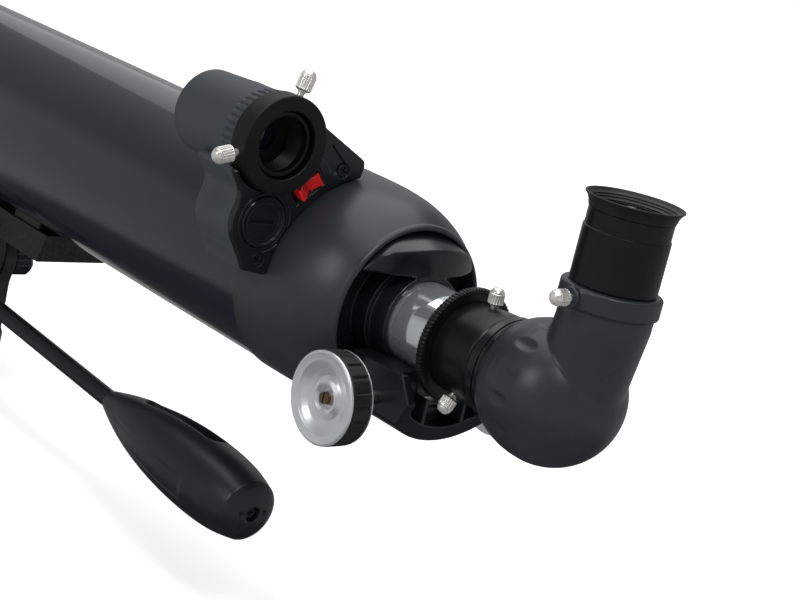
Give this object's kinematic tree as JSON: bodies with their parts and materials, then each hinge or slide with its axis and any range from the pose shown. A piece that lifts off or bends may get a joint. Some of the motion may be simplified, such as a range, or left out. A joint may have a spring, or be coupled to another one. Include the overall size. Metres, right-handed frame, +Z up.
{
  "type": "refractor telescope",
  "caption": "Refractor telescope: dark tube on a dovetail and pan head, rack focuser, star diagonal, eyepiece, lit finder and pan handle.",
  "frame": {"origin": "centre of the pan head's base, at the mouth of its tripod socket", "axes": "+Z up, +Y along the optical axis towards the objective, +X to the right of an observer at the eyepiece"},
  "size_m": [0.1494, 1.0194, 0.2631],
  "materials": {
    "tube_paint": "gloss metallic blue-black lacquer",
    "cell_plastic": "satin charcoal, fine moulded grain",
    "black_plastic": "satin black, fine moulded grain",
    "flat_black": "flat black",
    "slate_plastic": "matte slate grey",
    "diagonal_plastic": "satin slate charcoal",
    "head_paint": "textured dark grey powder coat on a die casting",
    "bar_anodised": "black anodised",
    "black_anodised": "satin black anodised",
    "chrome_plate": "bright chrome plate",
    "satin_silver": "satin turned",
    "zinc_steel": "bright zinc plated",
    "brass_part": "machined",
    "soft_rubber": "soft matte",
    "grip_plastic": "soft-touch black",
    "red_plastic": "gloss red",
    "optical_glass": "coated",
    "coin_cell": "stamped",
    "black_steel": "black oxide"
  },
  "bodies": {
    "head_base": {"azimuth_base": "head_paint"},
    "yoke": {"pan_body": "head_paint"},
    "azimuth_lock": {"azimuth_knob": "black_plastic"},
    "tilt": {"tilt_saddle": "head_paint", "tilt_axle": "black_steel"},
    "tilt_lock": {"tilt_knob": "black_plastic"},
    "saddle_lock": {"saddle_knob": "black_plastic"},
    "handle": {"handle_rod": "black_steel", "handle_grip": "grip_plastic", "grip_screw": "black_steel"},
    "tube": {"main_tube": "tube_paint", "tube_baffles": "flat_black", "objective_cell": "black_plastic", "crown_lens": "optical_glass", "flint_lens": "optical_glass", "lens_spacer": "black_anodised", "lens_retaining_ring": "flat_black", "dovetail_bar": "bar_anodised", "dovetail_screws": "zinc_steel", "rear_cell": "cell_plastic", "focuser_body": "black_plastic", "pinion_housing": "black_plastic", "finder_base": "black_plastic", "finder_plate": "black_plastic", "plate_screws": "black_steel", "battery": "coin_cell", "finder_tube": "slate_plastic", "finder_ring": "flat_black", "finder_window": "optical_glass"},
    "shield": {"dew_shield": "tube_paint"},
    "cap": {"dust_cap": "black_plastic"},
    "plug": {"dust_cap_plug": "black_plastic"},
    "draw": {"drawtube": "chrome_plate", "focus_rack": "brass_part", "eyepiece_adapter": "black_anodised"},
    "pinion": {"pinion_shaft": "zinc_steel", "knob_left": "satin_silver", "knob_right": "satin_silver", "knob_grip_left": "soft_rubber", "knob_grip_right": "soft_rubber", "knob_screws": "brass_part"},
    "ring": {"retaining_ring": "black_anodised"},
    "adapter_lock_top": {"adapter_screw_top": "chrome_plate"},
    "adapter_lock_side": {"adapter_screw_side": "chrome_plate"},
    "diagonal": {"diagonal_nose": "chrome_plate", "diagonal_ring": "flat_black", "diagonal_body": "diagonal_plastic", "diagonal_prism": "optical_glass"},
    "diagonal_lock": {"diagonal_screw": "chrome_plate"},
    "eyepiece": {"eyepiece_barrel": "chrome_plate", "eyepiece_body": "black_anodised", "eyepiece_lenses": "optical_glass", "eyecup": "soft_rubber"},
    "battery_lid": {"battery_cap": "black_plastic"},
    "rocker": {"finder_switch": "red_plastic"},
    "finder_aim": {"finder_barrel": "flat_black", "finder_lens": "optical_glass"},
    "finder_lock_up": {"finder_screw_up": "chrome_plate"},
    "finder_lock_side": {"finder_screw_side": "chrome_plate"}
  },
  "joints": [
    {"name": "azimuth", "type": "hinge", "parent": "head_base", "child": "yoke", "pos_m": [0, 0, 0.02], "axis": [0, 0, 1], "continuous": true},
    {"name": "azimuth_knob_turn", "type": "hinge", "parent": "yoke", "child": "azimuth_lock", "pos_m": [0, 0.03, 0.022], "axis": [0, 1, 0], "range_deg": [-180, 180]},
    {"name": "altitude", "type": "hinge", "parent": "yoke", "child": "tilt", "pos_m": [0, 0, 0.072], "axis": [1, 0, 0], "range_deg": [-30, 75]},
    {"name": "tilt_knob_turn", "type": "hinge", "parent": "tilt", "child": "tilt_lock", "pos_m": [0.03, 0, 0.072], "axis": [1, 0, 0], "range_deg": [-180, 180]},
    {"name": "saddle_knob_turn", "type": "hinge", "parent": "tilt", "child": "saddle_lock", "pos_m": [0.03, 0, 0.1062], "axis": [1, 0, 0], "range_deg": [-180, 180]},
    {"name": "handle_twist", "type": "hinge", "parent": "tilt", "child": "handle", "pos_m": [-0.03, 0, 0.072], "axis": [0, -0.999, -0.0454], "range_deg": [-90, 90]},
    {"name": "tube_slide", "type": "slide", "parent": "tilt", "child": "tube", "axis": [0, 1, 0], "range_m": [-0.04, 0.04]},
    {"name": "shield_pull", "type": "slide", "parent": "tube", "child": "shield", "axis": [0, 1, 0], "range_m": [0, 0.05]},
    {"name": "cap_pull", "type": "slide", "parent": "shield", "child": "cap", "axis": [0, 1, 0], "range_m": [0, 0.04]},
    {"name": "plug_pull", "type": "slide", "parent": "cap", "child": "plug", "axis": [0, 1, 0], "range_m": [0, 0.02]},
    {"name": "focus_travel", "type": "slide", "parent": "tube", "child": "draw", "axis": [0, -1, 0], "range_m": [-0.006, 0.09]},
    {"name": "pinion_turn", "type": "hinge", "parent": "tube", "child": "pinion", "pos_m": [0, -0.395, 0.1374], "axis": [1, 0, 0], "range_deg": [-60, 750]},
    {"name": "ring_turn", "type": "hinge", "parent": "draw", "child": "ring", "pos_m": [0, -0.41365, 0.167], "axis": [0, 1, 0], "range_deg": [-180, 180]},
    {"name": "adapter_screw_top_turn", "type": "hinge", "parent": "draw", "child": "adapter_lock_top", "pos_m": [0, -0.425, 0.192], "axis": [0, 0, 1], "range_deg": [-180, 180]},
    {"name": "adapter_screw_side_turn", "type": "hinge", "parent": "draw", "child": "adapter_lock_side", "pos_m": [-0.01325, -0.425, 0.1458], "axis": [-0.5299, 0, -0.848], "range_deg": [-180, 180]},
    {"name": "diagonal_turn", "type": "hinge", "parent": "draw", "child": "diagonal", "pos_m": [0, -0.469, 0.167], "axis": [0, 1, 0], "continuous": true},
    {"name": "diagonal_screw_turn", "type": "hinge", "parent": "diagonal", "child": "diagonal_lock", "pos_m": [-0.025, -0.484, 0.2131], "axis": [-1, 0, 0], "range_deg": [-180, 180]},
    {"name": "eyepiece_pull", "type": "slide", "parent": "diagonal", "child": "eyepiece", "axis": [0, 0, 1], "range_m": [0, 0.025]},
    {"name": "battery_cap_turn", "type": "hinge", "parent": "tube", "child": "battery_lid", "pos_m": [-0.0583, -0.334, 0.1953], "axis": [0, 1, 0], "range_deg": [0, 90]},
    {"name": "switch_rock", "type": "hinge", "parent": "tube", "child": "rocker", "pos_m": [-0.0391, -0.331, 0.212], "axis": [-0.6428, 0, 0.766], "range_deg": [-14, 0]},
    {"name": "finder_aim_tilt", "type": "hinge", "parent": "tube", "child": "finder_aim", "pos_m": [-0.05933, -0.3, 0.23063], "axis": [1, 0, 0], "range_deg": [-0.8, 0.8]},
    {"name": "finder_screw_up_turn", "type": "hinge", "parent": "tube", "child": "finder_lock_up", "pos_m": [-0.05286, -0.336, 0.25478], "axis": [0.2588, 0, 0.9659], "range_deg": [-180, 180]},
    {"name": "finder_screw_side_turn", "type": "hinge", "parent": "tube", "child": "finder_lock_side", "pos_m": [-0.08359, -0.336, 0.22458], "axis": [-0.9703, 0, -0.2419], "range_deg": [-180, 180]}
  ],
  "couplings": [
    {"joint": "pinion_turn", "follows": "focus_travel", "rad_per_m": 142.86}
  ]
}
